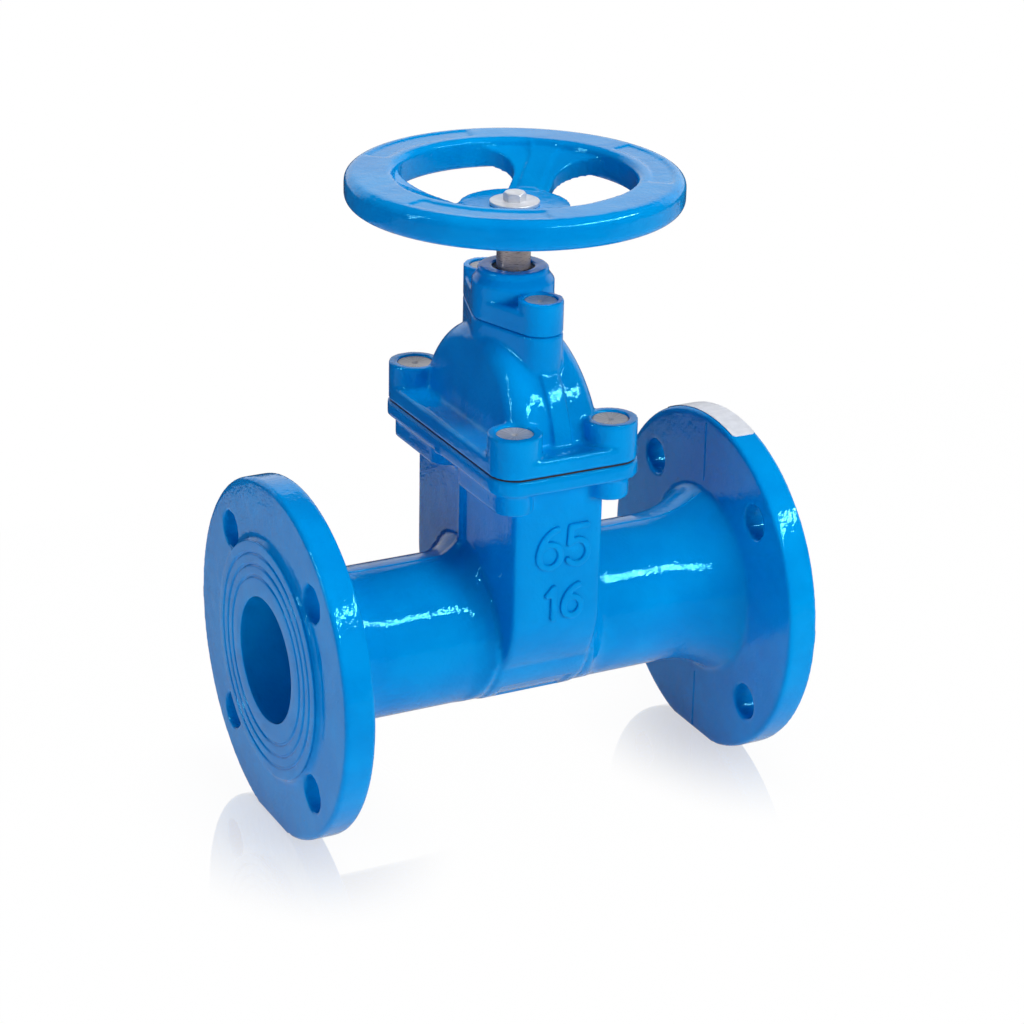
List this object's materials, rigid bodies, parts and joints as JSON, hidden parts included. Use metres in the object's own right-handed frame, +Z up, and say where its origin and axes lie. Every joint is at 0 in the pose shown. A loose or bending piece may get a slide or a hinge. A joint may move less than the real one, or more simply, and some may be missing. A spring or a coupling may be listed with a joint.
{
  "type": "resilient seated gate valve",
  "caption": "Flanged gate valve for water: blue epoxy-coated iron body and bonnet, rubber-lined gate on a non-rising stem, handwheel on top.",
  "frame": {"origin": "on the floor under the crossing of pipe axis and stem axis, with the valve on the foot flats of its flanges", "axes": "+X along the pipe from inlet to outlet, +Z up along the stem towards the handwheel, +Y across the pipe"},
  "size_m": [0.27, 0.185, 0.3272],
  "materials": {
    "blue_epoxy": "gloss, orange peel",
    "wheel_blue": "gloss",
    "dark_steel": "satin, browned",
    "zinc_steel": "zinc plated",
    "screw_steel": "plain",
    "brass": "machined",
    "rubber": "matt",
    "gate_iron": "cast",
    "cap_plastic": "satin",
    "guide_plastic": "satin"
  },
  "bodies": {
    "valve_body": {"body": "blue_epoxy", "bonnet_gasket": "rubber", "bonnet": "blue_epoxy", "gland": "blue_epoxy", "gland_bush": "brass", "gland_ring": "rubber", "bush_rings": "rubber", "stem_rings": "rubber", "wiper_ring": "rubber", "upper_thrust_washer": "brass", "lower_thrust_washer": "brass", "bonnet_screws": "screw_steel", "gland_screws": "screw_steel", "bonnet_screw_caps": "cap_plastic", "gland_screw_caps": "cap_plastic"},
    "spindle": {"stem": "dark_steel", "handwheel": "wheel_blue", "handwheel_bolt": "zinc_steel", "handwheel_washer": "zinc_steel"},
    "gate": {"gate_iron": "gate_iron", "gate_rubber": "rubber", "stem_nut": "brass", "gate_guides": "guide_plastic"}
  },
  "joints": [
    {"name": "wheel_turn", "type": "hinge", "parent": "valve_body", "child": "spindle", "pos_m": [0, 0, 0.2], "axis": [0, 0, 1], "range_deg": [-5940, 0]},
    {"name": "gate_slide", "type": "slide", "parent": "valve_body", "child": "gate", "axis": [0, 0, 1], "range_m": [-0.066, 0]}
  ],
  "couplings": [
    {"joint": "gate_slide", "follows": "wheel_turn", "m_per_rad": 0.00063662}
  ]
}
